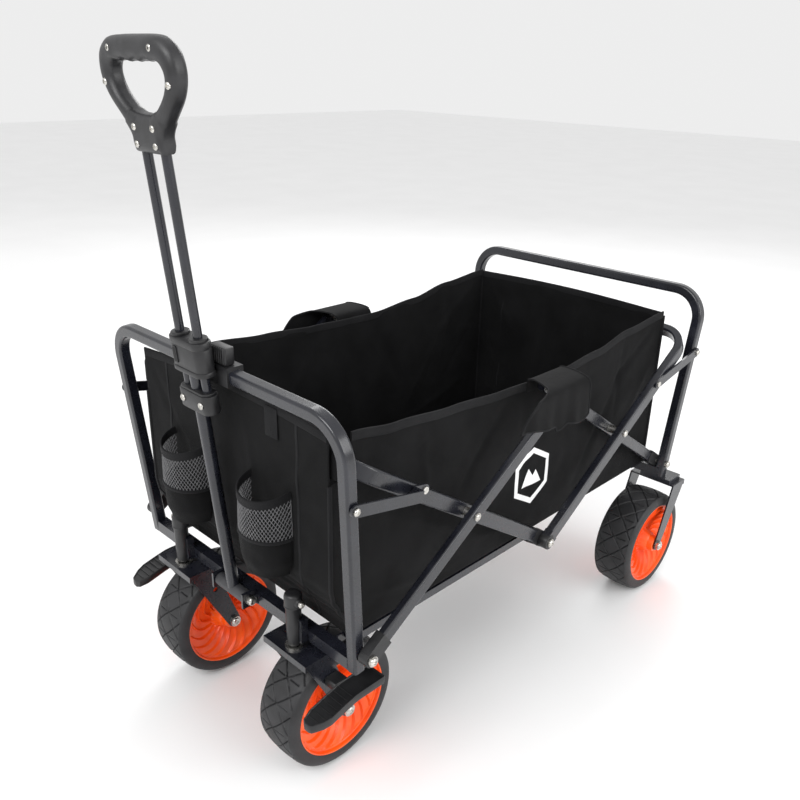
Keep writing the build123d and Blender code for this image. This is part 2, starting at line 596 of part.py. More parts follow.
# Mesh bottle pockets on the front panel.
pocket_low, pocket_high, pocket_radius = 325.0, 440.0, 44.0


def pocket(x):
    """Half round cup with a closed bottom."""
    height = pocket_high - pocket_low
    middle = (pocket_low + pocket_high) / 2
    cup = Pos(x, -panel_front_y, middle) * Cylinder(pocket_radius, height)
    cup = cup - Pos(x, -panel_front_y, middle + cloth) * Cylinder(pocket_radius - 2, height)
    return cup - block(x - 60, x + 60, -panel_front_y, -300, 250, 500)


pack("bottle_pockets", both(pocket(94)))
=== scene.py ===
import json
import math

import bpy
import numpy as np
from mathutils import Matrix, Vector, noise


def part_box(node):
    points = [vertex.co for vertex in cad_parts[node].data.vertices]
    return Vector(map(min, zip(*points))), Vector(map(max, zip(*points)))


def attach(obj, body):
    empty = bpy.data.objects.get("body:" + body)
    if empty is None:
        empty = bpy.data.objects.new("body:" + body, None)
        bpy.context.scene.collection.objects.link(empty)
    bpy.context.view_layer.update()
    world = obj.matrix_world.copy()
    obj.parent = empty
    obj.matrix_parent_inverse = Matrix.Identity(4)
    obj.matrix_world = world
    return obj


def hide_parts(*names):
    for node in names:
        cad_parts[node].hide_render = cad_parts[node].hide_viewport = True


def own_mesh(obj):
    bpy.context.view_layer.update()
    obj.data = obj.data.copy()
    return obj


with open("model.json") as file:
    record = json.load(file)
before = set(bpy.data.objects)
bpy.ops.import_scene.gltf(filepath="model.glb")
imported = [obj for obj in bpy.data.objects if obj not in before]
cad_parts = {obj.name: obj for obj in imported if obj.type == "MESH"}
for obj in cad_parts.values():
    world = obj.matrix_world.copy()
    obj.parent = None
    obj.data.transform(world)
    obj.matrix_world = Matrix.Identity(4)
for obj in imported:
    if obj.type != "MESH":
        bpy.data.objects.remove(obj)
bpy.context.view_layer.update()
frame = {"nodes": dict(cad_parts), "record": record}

# The model's ground origin lies this far behind the middle between the two end frames.
tyre_low, tyre_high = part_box("front_left_tyre")
rear_low, rear_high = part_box("rear_left_tyre")
MID_Y = (tyre_low.y + tyre_high.y + rear_low.y + rear_high.y) / 4


def P(x, y, z):
    """Point in metres from millimetres measured from the ground under the wagon's middle."""
    return Vector((x / 1000, y / 1000 + MID_Y, z / 1000))


# ------------------------------------------------------------------ camera
def make_camera():
    azimuth, elevation, roll = math.radians(44.25), math.radians(22.4), math.radians(1.34)
    back = Vector((math.sin(azimuth) * math.cos(elevation), -math.cos(azimuth) * math.cos(elevation),
                   math.sin(elevation)))
    right = (-back).cross(Vector((0, 0, 1))).normalized()
    up = right.cross(-back)
    right_rolled = right * math.cos(roll) + up * math.sin(roll)
    up_rolled = up * math.cos(roll) - right * math.sin(roll)
    camera = bpy.data.objects.new("camera", bpy.data.cameras.new("camera"))
    bpy.context.scene.collection.objects.link(camera)
    turn = Matrix((right_rolled, up_rolled, back)).transposed().to_4x4()
    camera.matrix_world = Matrix.Translation(P(876.5, -979.7, 961.4)) @ turn
    camera.data.sensor_width = 36
    camera.data.lens = 37.1
    camera.data.clip_start, camera.data.clip_end = 0.05, 60
    bpy.context.scene.camera = camera
    bpy.context.scene.view_settings.view_transform = "Standard"


# ------------------------------------------------------------------ materials
def shader(name, color, roughness, metallic=0.0, coat=0.0, sheen=0.0, specular=0.5):
    material = bpy.data.materials.new(name)
    material.use_nodes = True
    tree = material.node_tree
    bsdf = tree.nodes["Principled BSDF"]
    bsdf.inputs["Base Color"].default_value = (*color, 1)
    bsdf.inputs["Roughness"].default_value = roughness
    bsdf.inputs["Metallic"].default_value = metallic
    bsdf.inputs["Coat Weight"].default_value = coat
    bsdf.inputs["Coat Roughness"].default_value = 0.15
    bsdf.inputs["Sheen Weight"].default_value = sheen
    bsdf.inputs["Specular IOR Level"].default_value = specular
    return material, tree, bsdf


def texture_noise(tree, scale, detail=4.0, stretch=(1, 1, 1)):
    coordinates = tree.nodes.new("ShaderNodeTexCoord")
    mapping = tree.nodes.new("ShaderNodeMapping")
    mapping.inputs["Scale"].default_value = stretch
    texture = tree.nodes.new("ShaderNodeTexNoise")
    texture.inputs["Scale"].default_value = scale
    texture.inputs["Detail"].default_value = detail
    tree.links.new(coordinates.outputs["Object"], mapping.inputs["Vector"])
    tree.links.new(mapping.outputs["Vector"], texture.inputs["Vector"])
    return texture.outputs["Fac"]


def ramp(tree, value, low, high, start=0.35, stop=0.65):
    node = tree.nodes.new("ShaderNodeValToRGB")
    node.color_ramp.elements[0].position, node.color_ramp.elements[1].position = start, stop
    node.color_ramp.elements[0].color = (*low, 1)
    node.color_ramp.elements[1].color = (*high, 1)
    tree.links.new(value, node.inputs["Fac"])
    return node.outputs["Color"]


def bump(tree, bsdf, height, strength, distance, below=None):
    node = tree.nodes.new("ShaderNodeBump")
    node.inputs["Strength"].default_value = strength
    node.inputs["Distance"].default_value = distance
    tree.links.new(height, node.inputs["Height"])
    if below is not None:
        tree.links.new(below, node.inputs["Normal"])
    tree.links.new(node.outputs["Normal"], bsdf.inputs["Normal"])
    return node.outputs["Normal"]


def math_node(tree, kind, a, b=None, c=None):
    node = tree.nodes.new("ShaderNodeMath")
    node.operation = kind
    for socket, value in zip(node.inputs, (a, b, c)):
        if value is None:
            continue
        if isinstance(value, (int, float)):
            socket.default_value = value
        else:
            tree.links.new(value, socket)
    return node.outputs[0]


def mottled(name, dark, light, roughness, patch_scale, grain_scale, grain, distance=0.0004, **more):
    """Two close tones in soft patches, with a fine grain in the surface."""
    material, tree, bsdf = shader(name, dark, roughness, **more)
    patches = texture_noise(tree, patch_scale, 5)
    tree.links.new(ramp(tree, patches, dark, light), bsdf.inputs["Base Color"])
    spread = math_node(tree, "MULTIPLY_ADD", texture_noise(tree, patch_scale * 3), 0.14, roughness - 0.07)
    tree.links.new(spread, bsdf.inputs["Roughness"])
    bump(tree, bsdf, texture_noise(tree, grain_scale, 3), grain, distance)
    return material


def woven(name, dark, light, thread, relief, roughness=0.75, sheen=0.12):
    """Plain weave: two crossed families of threads, with slow tone changes over the cloth."""
    material, tree, bsdf = shader(name, dark, roughness, sheen=sheen, specular=0.15)
    bsdf.inputs["Sheen Roughness"].default_value = 0.5
    coordinates = tree.nodes.new("ShaderNodeTexCoord")
    split = tree.nodes.new("ShaderNodeSeparateXYZ")
    tree.links.new(coordinates.outputs["Object"], split.inputs["Vector"])
    along = math_node(tree, "ADD", split.outputs["X"], split.outputs["Y"])
    frequency = 2 * math.pi / thread
    warp = math_node(tree, "SINE", math_node(tree, "MULTIPLY", along, frequency))
    weft = math_node(tree, "SINE", math_node(tree, "MULTIPLY", split.outputs["Z"], frequency))
    weave = math_node(tree, "MULTIPLY", warp, weft)
    patches = texture_noise(tree, 14, 6)
    tree.links.new(ramp(tree, patches, dark, light), bsdf.inputs["Base Color"])
    soft = bump(tree, bsdf, texture_noise(tree, 60, 5), 0.25, 0.002)
    bump(tree, bsdf, weave, relief, 0.0003, soft)
    return material


PAINT = mottled("paint_black", (0.006, 0.0065, 0.010), (0.011, 0.012, 0.018), 0.28, 30, 900, 0.02,
        0.0002, coat=0.3)
PLASTIC = mottled("plastic_black", (0.007, 0.007, 0.008), (0.014, 0.014, 0.015), 0.42, 40, 1500, 0.2)
GRIP = mottled("plastic_grip", (0.012, 0.012, 0.013), (0.022, 0.022, 0.024), 0.40, 60, 2200, 0.3)
GREY = mottled("plastic_grey", (0.028, 0.028, 0.031), (0.045, 0.045, 0.05), 0.5, 40, 1500, 0.25)
NICKEL = mottled("nickel", (0.50, 0.49, 0.46), (0.68, 0.66, 0.62), 0.28, 120, 900, 0.15, metallic=1.0)
ORANGE = mottled("plastic_orange", (0.86, 0.075, 0.001), (0.95, 0.11, 0.003), 0.4, 18, 1200, 0.1, coat=0.15)
RUBBER = mottled("tyre_rubber", (0.008, 0.008, 0.009), (0.018, 0.018, 0.020), 0.55, 35, 1400, 0.4)
CLOTH = woven("polyester_black", (0.0026, 0.0026, 0.0029), (0.006, 0.006, 0.0065), 0.0011, 0.45, 0.85, 0.02)
BINDING = woven("binding_black", (0.007, 0.007, 0.008), (0.013, 0.013, 0.014), 0.0016, 0.8, 0.8, 0.03)
NETTING = mottled("netting_grey", (0.10, 0.10, 0.105), (0.17, 0.17, 0.175), 0.55, 200, 3000, 0.3)
WHITE = mottled("print_white", (0.78, 0.78, 0.78), (0.88, 0.88, 0.87), 0.6, 50, 1800, 0.3)
# Near-black colour for the collar window: painted shade standing in for the shade inside the window's recess.
RECESS_SHADE = mottled("painted_recess_shade", (0.003, 0.003, 0.003), (0.006, 0.006, 0.006), 0.7, 90, 1500, 0.2)

CAD_MATERIALS = {
    "black_paint": PAINT, "black_plastic": PLASTIC, "grip_plastic": GRIP, "grey_plastic": GREY,
    "nickel_steel": NICKEL, "orange_plastic": ORANGE, "tyre_rubber": RUBBER, "bag_fabric": CLOTH,
    "pocket_mesh": NETTING, "mat_fabric": CLOTH,
}


# ------------------------------------------------------------------ mesh helpers
def piece(name, points, faces, material, body=None, smooth=True, sharp=35):
    """A mesh object from points in metres in the row frame; it rides on the body if one is named."""
    mesh = bpy.data.meshes.new(name)
    mesh.from_pydata([tuple(p) for p in points], [], [tuple(int(i) for i in f) for f in faces])
    mesh.update()
    mesh.materials.append(material)
    item = bpy.data.objects.new(name, mesh)
    bpy.context.scene.collection.objects.link(item)
    if smooth:
        mesh.shade_smooth()
        if sharp is not None:
            mesh.set_sharp_from_angle(angle=math.radians(sharp))
    if body is not None:
        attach(item, body)
    return item


def grid_faces(rows, columns, wrap_rows=False, wrap_columns=False, start=0):
    faces = []
    for i in range(rows if wrap_rows else rows - 1):
        for j in range(columns if wrap_columns else columns - 1):
            a, b = i * columns + j, i * columns + (j + 1) % columns
            c, d = ((i + 1) % rows) * columns + (j + 1) % columns, ((i + 1) % rows) * columns + j
            faces.append((start + a, start + b, start + c, start + d))
    return faces


def merge(parts):
    """Joins (points, faces) pairs into one pair."""
    points, faces = [], []
    for part_points, part_faces in parts:
        offset = len(points)
        points += [Vector(p) for p in part_points]
        faces += [tuple(i + offset for i in f) for f in part_faces]
    return points, faces


def lathe(profile, centre, axis, segments=32, caps=True):
    """Surface of revolution: profile is (radius, height) in mm along the axis from the centre point."""
    axis = Vector(axis).normalized()
    side = axis.orthogonal().normalized()
    other = axis.cross(side)
    points = []
    for k in range(segments):
        turn = 2 * math.pi * k / segments
        ray = side * math.cos(turn) + other * math.sin(turn)
        points += [centre + ray * (r / 1000) + axis * (h / 1000) for r, h in profile]
    faces = grid_faces(segments, len(profile), wrap_rows=True)
    if caps and profile[0][0] > 1e-6:
        faces.append(tuple(k * len(profile) for k in range(segments)))
    if caps and profile[-1][0] > 1e-6:
        faces.append(tuple(k * len(profile) + len(profile) - 1 for k in reversed(range(segments))))
    return points, faces


def dome_head(centre, axis, radius, height):
    """Rivet or screw head: a flange, a low dome and a small socket in its crown."""
    profile = [(radius, 0), (radius, height * 0.25), (radius * 0.93, height * 0.55),
            (radius * 0.75, height * 0.85),
               (radius * 0.5, height), (radius * 0.42, height), (radius * 0.36, height * 0.55),
                       (0.0, height * 0.5)]
    return lathe(profile, centre, axis, 24)


def heads(name, material, body, places):
    """One object holding several domed heads; each place is (point, axis, radius, height)."""
    points, faces = merge([dome_head(*place) for place in places])
    return piece(name, points, faces, material, body, sharp=50)


def sweep(line, section, closed=False, ups=None):
    """Sweeps a section, a list of (across, upward) in mm, along points in metres."""
    count = len(line)
    rings = []
    for k, point in enumerate(line):
        ahead = line[(k + 1) % count] if closed or k < count - 1 else line[k]
        behind = line[k - 1] if closed or k > 0 else line[k]
        tangent = (ahead - behind).normalized()
        up = Vector(ups[k] if ups else (0, 0, 1))
        across = tangent.cross(up).normalized()
        up = across.cross(tangent)
        rings += [point + across * (u / 1000) + up * (v / 1000) for u, v in section]
    faces = grid_faces(count, len(section), wrap_rows=closed, wrap_columns=True)
    if not closed:
        faces.append(tuple(reversed(range(len(section)))))
        faces.append(tuple((count - 1) * len(section) + k for k in range(len(section))))
    return rings, faces


def rounded_outline(width, height, radius, steps=5):
    """Points of a rounded rectangle in mm, counter-clockwise."""
    outline = []
    for cx, cy, start in ((1, 1, 0), (-1, 1, 90), (-1, -1, 180), (1, -1, 270)):
        for k in range(steps + 1):
            turn = math.radians(start + 90 * k / steps)
            outline.append((cx * (width / 2 - radius) + radius * math.cos(turn),
                            cy * (height / 2 - radius) + radius * math.sin(turn)))
    return outline


def prism(outline, low, high, place, chamfer=1.2):
    """Extrudes an outline in mm between two heights with rounded rims; place maps (u, v, h) to a point."""
    centre_u = sum(u for u, v in outline) / len(outline)
    centre_v = sum(v for u, v in outline) / len(outline)
    half_u = max(abs(u - centre_u) for u, v in outline)
    half_v = max(abs(v - centre_v) for u, v in outline)
    rings = []
    steps = [(1.0, 0.0), (0.3, 0.3), (0.0, 1.0)]
    levels = [(inset, low + rise * chamfer) for inset, rise in steps]
    levels += [(inset, high - rise * chamfer) for inset, rise in reversed(steps)]
    for inset, level in levels:
        shrink_u, shrink_v = 1 - inset * chamfer / half_u, 1 - inset * chamfer / half_v
        rings += [place(centre_u + (u - centre_u) * shrink_u, centre_v + (v - centre_v) * shrink_v, level)
                  for u, v in outline]
    count = len(outline)
    faces = grid_faces(len(levels), count, wrap_columns=True)
    faces.append(tuple(reversed(range(count))))
    faces.append(tuple((len(levels) - 1) * count + k for k in range(count)))
    return rings, faces


def wave(value, *terms):
    """Sum of sines; each term is (height, frequency, phase)."""
    return sum(height * math.sin(frequency * value + phase) for height, frequency, phase in terms)


def smooth_step(t):
    t = min(1.0, max(0.0, t))
    return t * t * (3 - 2 * t)


# ------------------------------------------------------------------ wheels
TREAD_COUNT = 16
WHEEL_RADIUS = 100.0
AROUND = 576


def tyre_profile():
    """Outer skin of the tyre as (x, radius) in mm from bead to bead, denser over the tread."""
    side = [(-31, 76.5), (-35.2, 77.5), (-36.1, 80.5), (-36.5, 84), (-36.2, 87.5), (-35.4, 91),
            (-34, 94.2), (-32, 96.6)]
    tread = []
    for k in range(53):
        x = -30 + 60 * k / 52
        tread.append((x, WHEEL_RADIUS - 0.5 - 0.0024 * x * x - 0.75 * smooth_step((abs(x) - 24) / 6)))
    return side + tread + [(-x, r) for x, r in reversed(side)]


def tread_depth(arc, x, pitch):
    """How deep the tread is cut at this place: crossing curved grooves and short bars beside them, fading out at
    the shoulders.
    """
    depth = 0.0
    lean = 0.88 * x + 0.0085 * x * abs(x)
    for line in (arc - lean, arc + lean):
        off = abs((line + pitch / 2) % pitch - pitch / 2) * 0.74
        depth = max(depth, 2.4 * max(0.0, 1 - (off / 1.3) ** 2))
        depth -= 0.45 * max(0.0, 1 - ((off - 2.1) / 0.9) ** 2)
    bar = (arc + pitch / 2) % pitch - pitch / 2
    if 4 < abs(x) < 25:
        fade = min(1, (abs(x) - 4) / 2, (25 - abs(x)) / 2)
        depth = max(depth, 1.8 * fade * max(0.0, 1 - (abs(bar) / 1.2) ** 2))
    edge = smooth_step((31.5 - abs(x)) / 2.5)
    return depth * edge


def make_tyre(name, node, body):
    low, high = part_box(node)
    centre = (low + high) / 2
    profile = tyre_profile()
    pitch = 2 * math.pi * WHEEL_RADIUS / TREAD_COUNT
    inner = [(31, 76), (-31, 76)]
    points = []
    for k in range(AROUND):
        turn = 2 * math.pi * k / AROUND
        arc = turn * WHEEL_RADIUS
        for x, radius in profile:
            r = radius - tread_depth(arc, x, pitch)
            points.append(centre + Vector((x / 1000, r * math.sin(turn) / 1000, r * math.cos(turn) / 1000)))
        for x, radius in inner:
            points.append(centre + Vector((x / 1000, radius * math.sin(turn) / 1000,
                    radius * math.cos(turn) / 1000)))
    tyre = piece(name, points, grid_faces(AROUND, len(profile) + 2, wrap_rows=True,
            wrap_columns=True), RUBBER, body,
                 sharp=60)
    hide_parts(node)


def dish(radius):
    """Distance of the hub's web from the wheel's middle plane at this radius, in mm."""
    return 12.0 + 17.0 * smooth_step((radius - 24) / 50) ** 1.3 + 20.0 * smooth_step((27 - radius) / 12)


RIBS = 18
HUB_STEPS = 24


def hub_side(centre, side):
    """Bowl of the hub, with thin raised ribs that curve from the boss to the rim."""
    radii = [15.5 + (73.6 - 15.5) * k / 34 for k in range(35)]
    columns = RIBS * HUB_STEPS
    points = []
    for column in range(columns):
        share = (column % HUB_STEPS) / HUB_STEPS
        for radius in radii:
            out = (radius - 15.5) / 58.1
            turn = 2 * math.pi * column / columns + side * 0.85 * out ** 1.5
            width = 1.3 / (2 * math.pi * radius / RIBS)
            near = min(share, 1 - share)
            rib = max(0.0, 1 - near / (width * 1.7)) ** 0.7 if width * 1.7 > 0.5 / HUB_STEPS else 0.0
            blade = 2.4 * (1 - share) * math.sin(math.pi * out) ** 0.8
            fade = smooth_step((radius - 19) / 9) * smooth_step((74.2 - radius) / 5)
            x = dish(radius) + fade * (3.8 * rib + blade)
            points.append(centre + Vector((side * x / 1000, radius * math.sin(turn) / 1000,
                                           radius * math.cos(turn) / 1000)))
    return points, grid_faces(columns, len(radii), wrap_rows=True)


def make_hub(name, node, body):
    low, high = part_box(node)
    centre = (low + high) / 2
    parts = []
    for side in (-1, 1):
        rim = [(73.5, dish(73.5)), (75.0, 30.0), (75.6, 33.2), (76.4, 35.0), (77.8, 35.6), (79.2,
                34.8), (79.5, 33.0),
               (79.4, 31.2), (76.2, 31.0), (76.0, 0.5)]
        parts.append(lathe(rim, centre, (side, 0, 0), 120, caps=False))
        boss = [(16.5, dish(15.5) - 6), (15.8, dish(15.5)), (15.0, 38.5), (14.6, 41.2), (13.5,
                42.0), (8.0, 42.0),
                (7.4, 40.5), (5.2, 40.2), (5.1, 20.0)]
        parts.append(lathe(boss, centre, (side, 0, 0), 48, caps=False))
        parts.append(hub_side(centre, side))
    points, faces = merge(parts)
    hub = piece(name, points, faces, ORANGE, body, sharp=40)
    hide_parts(node)


def make_wheels():
    for end in ("front", "rear"):
        for side in ("left", "right"):
            body = f"wheel_{end}_{side}"
            make_tyre(f"tyre_{end}_{side}", f"{end}_{side}_tyre", body)
            make_hub(f"hub_{end}_{side}", f"{end}_{side}_hub", body)
            low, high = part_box(f"{end}_{side}_tyre")
            centre = (low + high) / 2
            holder = f"caster_{side}" if end == "front" else "rear_frame"
            places = [(centre + Vector((s * 0.051, 0, 0)), (s, 0, 0), 7.2, 3.2) for s in (-1, 1)]
            heads(f"axle_heads_{end}_{side}", NICKEL, holder, places)


# ------------------------------------------------------------------ handle
LEAN = math.radians(5.9)
PIVOT = (420.0, 239.5)


def on_handle(u, w, n=0.0):
    """Point u across, w up the handle from its pivot, and n in front of it, all in mm."""
    return P(u, -PIVOT[0] - w * math.sin(LEAN) - n * math.cos(LEAN),
            PIVOT[1] + w * math.cos(LEAN) - n * math.sin(LEAN))


def ray_hit(outline, centre, angle):
    """Distance from the centre to a closed outline in the given direction."""
    best = 0.0
    dx, dy = math.cos(angle), math.sin(angle)
    for (x0, y0), (x1, y1) in zip(outline, outline[1:] + outline[:1]):
        ax, ay = x0 - centre[0], y0 - centre[1]
        bx, by = x1 - x0, y1 - y0
        cross = dx * by - dy * bx
        if abs(cross) < 1e-9:
            continue
        distance = (ax * by - ay * bx) / cross
        share = (ax * dy - ay * dx) / cross
        if distance > 0 and -1e-6 <= share <= 1 + 1e-6:
            best = max(best, distance)
    return best


def spline_points(knots, steps=8):
    """Catmull-Rom curve through the knots."""
    out = []
    padded = [knots[0]] + knots + [knots[-1]]
    for k in range(1, len(padded) - 2):
        a, b, c, d = (Vector(p) for p in padded[k - 1:k + 3])
        for step in range(steps):
            t = step / steps
            out.append(0.5 * ((2 * b) + (c - a) * t + (2 * a - 5 * b + 4 * c - d) * t * t
                              + (3 * b - a - 3 * c + d) * t ** 3))
    out.append(Vector(knots[-1]))
    return [tuple(p) for p in out]


def make_grip():
    half_outer = spline_points([(31, 622), (31, 638), (44, 656), (69, 682), (79.5, 706), (75,
            728), (60, 741.5),
                                (40, 745.5), (0, 746)])
    outer = half_outer + [(-u, w) for u, w in reversed(half_outer[:-1])]
    half_hole = spline_points([(0, 665), (24, 668.5), (48, 686), (56.5, 703), (52, 715), (40, 719), (0, 719)])
    hole = half_hole + [(-u, w) for u, w in reversed(half_hole[1:-1])]
    centre = (0.0, 696.0)
    count, around = 168, 28
    rings = []
    for k in range(count):
        angle = 2 * math.pi * k / count
        far, near = ray_hit(outer, centre, angle), ray_hit(hole, centre, angle)
        across = near * math.cos(angle)
        if math.sin(angle) > 0.3 and abs(across) < 44:
            near -= 2.4 * (0.5 - 0.5 * math.cos(2 * math.pi * (across + 44) / 22)) ** 1.5 - 1.2
        middle, half = (far + near) / 2, (far - near) / 2
        thick = 11.5 + 1.8 * smooth_step((math.sin(angle) - 0.1) / 0.6)
        low_end = math.sin(angle) < -0.72
        power = 3.4 if low_end else 2.4
        for j in range(around):
            turn = 2 * math.pi * j / around
            c, s = math.cos(turn), math.sin(turn)
            a = half * math.copysign(abs(c) ** (2 / power), c)
            b = thick * math.copysign(abs(s) ** (2 / power), s)
            if j in (0, around // 2):
                a -= math.copysign(0.7, c)
            reach = middle + a
            rings.append(on_handle(centre[0] + reach * math.cos(angle),
                    centre[1] + reach * math.sin(angle), b))
    grip = piece("grip", rings, grid_faces(count, around, wrap_rows=True, wrap_columns=True),
            GRIP, "handle_grip",
                 sharp=50)
    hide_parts("grip_shell_front", "grip_shell_back")
    forward = (on_handle(0, 0, 1) - on_handle(0, 0, 0)).normalized()
    places = [(on_handle(u, w, n), forward, 4.2, 2.4) for u, w, n in
              ((44, 733, 11.4), (-44, 733, 11.4), (67.5, 697, 10.6), (-67.5, 697, 10.6), (20, 651, 10.8),
               (-20, 651, 10.8), (20, 632, 10.6), (-20, 632, 10.6))]
    places += [(on_handle(side * 20.7, 311.5, 12.8), forward, 5.0, 2.2) for side in (-1, 1)]
    screws = heads("grip_screw_heads", NICKEL, "handle_grip", places)
    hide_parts("grip_screws")


def stadium(width, depth, steps=10):
    outline = []
    for sign, start in ((1, -90), (-1, 90)):
        for k in range(steps + 1):
            turn = math.radians(start + 180 * k / steps)
            outline.append((sign * (width - depth) / 2 + depth / 2 * math.cos(turn),
                    depth / 2 * math.sin(turn)))
    return outline


def make_collars():
    def place(u, v, h):
        return on_handle(u, h, v)
    upper = [prism(stadium(71, 26), 351, 391, place, 1.5), prism(stadium(73, 28), 388, 398, place, 1.8),
             prism(stadium(73, 28), 351, 358, place, 1.2)]
    up_handle = on_handle(0, 1) - on_handle(0, 0)
    for side in (-1, 1):
        upper.append(lathe([(7.0, 0), (12.2, 0), (12.6, 1.0), (12.2, 4.2), (11.2, 5.0), (7.2, 5.0)],
                           on_handle(side * 20.7, 397), up_handle, 32))
    points, faces = merge(upper)
    collar = piece("upper_collar", points, faces, PLASTIC, "handle")
    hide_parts("handle_upper_collar")
    points, faces = prism(rounded_outline(9, 24, 3), 12.5, 14.4, lambda u, v, h: on_handle(u - 19,
            374 + v, h), 0.4)
    piece("collar_window_rim", points, faces, PLASTIC, "handle")
    # Dark insert in the collar window: painted shade of the recess, raised a little above the rim.
    points, faces = prism(rounded_outline(6, 20, 2), 12.5, 14.7, lambda u, v, h: on_handle(u - 19,
            374 + v, h), 0.3)
    piece("collar_window", points, faces, RECESS_SHADE, "handle")
    lower = [prism(stadium(70, 25), 298, 325, place, 2.0), prism(stadium(64, 22), 324, 328, place, 0.8)]
    points, faces = merge(lower)
    collar = piece("lower_collar", points, faces, PLASTIC, "handle_grip")
    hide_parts("handle_lower_collar")


def make_latch():
    rail = 430.0

    def place(u, v, h):
        return P(u, -rail + v, h)
    body = prism(rounded_outline(34, 15, 3), 601.5, 625, lambda u, v, h: P(u + 27, -rail - 2 + v, h), 1.6)
    ribs = []
    for number in range(7):
        u = 13.5 + 4.5 * number
        ribs.append(prism(rounded_outline(2.2, 3.2, 1), 603.5, 624, lambda a, b, h, u=u: P(u + a,
                -rail - 9.6 + b, h), 0.5))
    points, faces = merge([body] + ribs)
    button = piece("latch_thumb_button", points, faces, PLASTIC, "latch_button")
    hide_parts("handle_latch_button")


# ------------------------------------------------------------------ casters, pedals
def make_pedal(side):
    name = "left" if side > 0 else "right"
    top_line = [(-344, 181), (-395, 181), (-420, 175.2), (-466, 162.6)]

    def top(y):
        for (y0, z0), (y1, z1) in zip(top_line, top_line[1:]):
            if y1 <= y <= y0:
                return z0 + (z1 - z0) * (y - y0) / (y1 - y0)
        return top_line[-1][1] if y < -466 else top_line[0][1]

    outline = [(206.6, -346), (208.5, -343.5), (239.5, -343.5), (241.8, -346), (241.8, -440),
            (238, -452), (229, -465),
               (224, -466.6), (217, -466.6), (211, -463), (206.8, -450)]
    dense = []
    for (x0, y0), (x1, y1) in zip(outline, outline[1:] + outline[:1]):
        steps = max(1, int(math.hypot(x1 - x0, y1 - y0) / 8))
        dense += [(x0 + (x1 - x0) * k / steps, y0 + (y1 - y0) * k / steps) for k in range(steps)]
    cx, cy = 224.0, -404.0
    levels = [(3.0, -10.0), (0.6, -10.2), (0.0, -8.8), (0.0, 0.6), (0.5, 1.5), (1.6, 1.6), (2.4, 0.2)]
    rings = []
    for inset, rise in levels:
        for x, y in dense:
            sx, sy = 1 - inset / 17.5, 1 - inset / 61
            px, py = cx + (x - cx) * sx, cy + (y - cy) * sy
            rings.append(P(side * px, py, top(py) + rise))
    faces = grid_faces(len(levels), len(dense), wrap_columns=True)
    count = len(dense)
    # The tread surface inside the rim is closed by one face, and ribs run across it from side to side.
    inner = (len(levels) - 1) * count
    faces.append(tuple(inner + k for k in range(count)))
    faces.append(tuple(reversed(range(count))))
    parts = [(rings, faces)]
    for number in range(7):
        y = -455 + 9.0 * number
        narrow = 3.2 if y < -450 else 0.0
        line = [P(side * x, y, top(y) + 0.6) for x in (210.5 + narrow, 224, 238.5 - narrow)]
        parts.append(sweep(line, [(-0.8, -0.6), (0.8, -0.6), (0.5, 0.9), (-0.5, 0.9)]))
    bridge = prism(rounded_outline(24, 22, 4), 186.5, 208, lambda u, v, h: P(side * h, -394 + u,
            176 + v * 0.62), 1.2)
    parts.append(bridge)
    points, faces = merge(parts)
    pedal = piece(f"pedal_{name}", points, faces, PLASTIC, f"pedal_{name}", sharp=30)
    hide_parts(f"brake_pedal_{name}")


def make_post(side):
    """Post that the caster turns in, with its cap and the ear that holds its bolt."""
    foot = P(side * 140, -419.5, 221)
    column = lathe([(7.4, 0), (9.0, 1.2), (9.8, 8), (10.6, 30), (11.0, 60), (11.9, 61), (12.3,
            63), (12.5, 66), (12.5, 77),
                    (11.9, 80.6), (9.6, 82.8), (4.0, 83.4), (0.0, 83.5)], foot, (0, 0, 1), 40)
    ring = lathe([(12.6, 62.4), (13.0, 63.0), (13.0, 64.6), (12.6, 65.2)], foot, (0, 0, 1), 40)
    ear = lathe([(6.6, 0), (6.6, 14.2), (6.1, 15.6), (5.0, 16.2), (0.0, 16.3)], P(side * 140,
            -419.5, 293), (side, 0, 0), 28)
    points, faces = merge([column, ring, ear])
    name = "left" if side > 0 else "right"
    return piece(f"caster_post_{name}", points, faces, PLASTIC, "front_frame", sharp=45)


def make_casters():
    posts = [make_post(side) for side in (1, -1)]
    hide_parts("caster_posts")
    for side, name in ((1, "left"), (-1, "right")):
        make_pedal(side)
        heads(f"caster_post_head_{name}", NICKEL, "front_frame", [(P(side * 159, -419.5, 293),
                (side, 0, 0), 4.6, 2.2)])


